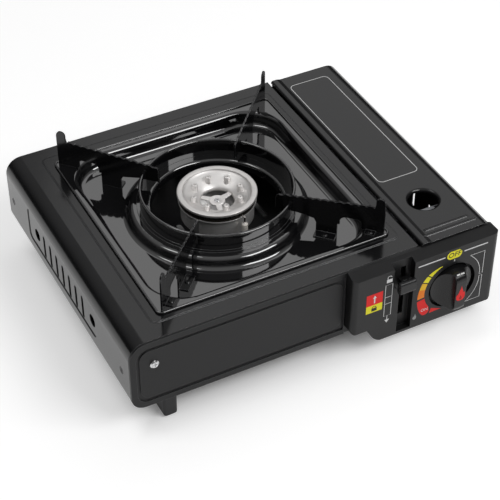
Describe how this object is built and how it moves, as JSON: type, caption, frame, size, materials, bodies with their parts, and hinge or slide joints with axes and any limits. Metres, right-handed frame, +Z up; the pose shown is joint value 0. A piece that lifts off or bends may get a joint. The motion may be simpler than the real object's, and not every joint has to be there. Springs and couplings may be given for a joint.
{
  "type": "cassette stove",
  "caption": "Low box-shaped tabletop gas stove: a round burner under toothed pan supports on the left, and a hinged lid over the canister bay on the right.",
  "frame": {"origin": "middle of the bounding box at ground level", "axes": "+X to the canister side, +Y to the back, +Z up"},
  "size_m": [0.345, 0.301, 0.1344],
  "materials": {
    "body_enamel": "glossy black enamel on pressed steel",
    "front_plate_paint": "matt black paint on pressed steel",
    "back_paint": "satin black paint on sheet steel",
    "tray_enamel": "mirror-gloss black enamel",
    "support_enamel": "glossy black enamel",
    "panel_plastic": "fine matt black moulded plastic",
    "knob_plastic": "satin black moulded plastic",
    "igniter_plastic": "matt black",
    "plunger_plastic": "red",
    "foot_plastic": "matt black",
    "rubber_black": "matt",
    "lead_sleeve": "satin",
    "bright_steel": "bright zinc-plated",
    "zinc_sheet": "galvanised",
    "zinc_casting": "as cast",
    "cover_alloy": "satin",
    "cap_alloy": "pale satin",
    "port_ring_metal": "dark, heat-stained",
    "brass": "turned",
    "ceramic": "glazed white ceramic"
  },
  "bodies": {
    "housing": {"body_shell": "body_enamel", "front_panel": "front_plate_paint", "back_panel": "back_paint", "base_plate": "back_paint", "bay_trough": "back_paint", "partition": "zinc_sheet", "foot_front_left": "foot_plastic", "foot_back_left": "foot_plastic", "foot_front_right": "foot_plastic", "foot_back_right": "foot_plastic", "foot_pads": "rubber_black", "front_panel_screws": "bright_steel", "side_screws": "bright_steel", "back_panel_screws": "bright_steel", "base_screws": "bright_steel", "control_panel": "panel_plastic", "control_panel_screws": "bright_steel", "lever_bracket": "zinc_sheet", "lever_pivot": "bright_steel", "valve_bracket": "zinc_sheet", "regulator_body": "zinc_casting", "regulator_cover": "cover_alloy", "regulator_screws": "bright_steel", "inlet_nozzle": "brass", "inlet_seal": "rubber_black", "canister_guide": "zinc_sheet", "injector": "brass", "mixing_tube": "bright_steel", "air_shutter": "zinc_sheet", "burner_base": "bright_steel", "burner_port_ring": "port_ring_metal", "burner_cap": "cap_alloy", "burner_spider": "cap_alloy", "burner_screw": "bright_steel", "burner_bracket": "zinc_sheet", "burner_bracket_screws": "bright_steel", "piezo_igniter": "igniter_plastic", "ignition_lead": "lead_sleeve", "electrode": "ceramic", "electrode_bracket": "zinc_sheet", "lid_hinge_pins": "bright_steel"},
    "lid": {"lid": "body_enamel"},
    "knob": {"knob": "knob_plastic", "knob_spindle": "bright_steel"},
    "lock_lever": {"lock_lever": "bright_steel", "lever_cap": "knob_plastic"},
    "carriage": {"canister_carriage": "zinc_sheet", "carriage_pad": "rubber_black"},
    "igniter_plunger": {"igniter_plunger": "plunger_plastic"},
    "tray": {"drip_tray": "tray_enamel", "support_ring": "tray_enamel", "support_front_left": "support_enamel", "support_front_right": "support_enamel", "support_back_left": "support_enamel", "support_back_right": "support_enamel", "support_rivets": "support_enamel"}
  },
  "joints": [
    {"name": "lid_hinge", "type": "hinge", "parent": "housing", "child": "lid", "pos_m": [0.1675, 0.0155, 0.062], "axis": [0, 1, 0], "range_deg": [0, 100]},
    {"name": "knob_turn", "type": "hinge", "parent": "housing", "child": "knob", "pos_m": [0.1265, -0.1245, 0.0505], "axis": [0, -1, 0], "range_deg": [0, 135]},
    {"name": "lever_swing", "type": "hinge", "parent": "housing", "child": "lock_lever", "pos_m": [0.0785, -0.0445, 0.0565], "axis": [1, 0, 0], "range_deg": [0, 18]},
    {"name": "carriage_slide", "type": "slide", "parent": "housing", "child": "carriage", "axis": [0, -1, 0], "range_m": [0, 0.00589]},
    {"name": "plunger_slide", "type": "slide", "parent": "housing", "child": "igniter_plunger", "axis": [0, 0, -1], "range_m": [0, 0.00401]},
    {"name": "tray_lift", "type": "slide", "parent": "housing", "child": "tray", "axis": [0, 0, 1], "range_m": [0, 0.06]}
  ],
  "couplings": [
    {"joint": "carriage_slide", "follows": "lever_swing", "m_per_rad": 0.018723},
    {"joint": "plunger_slide", "follows": "knob_turn", "m_per_rad": 0.0016977}
  ]
}
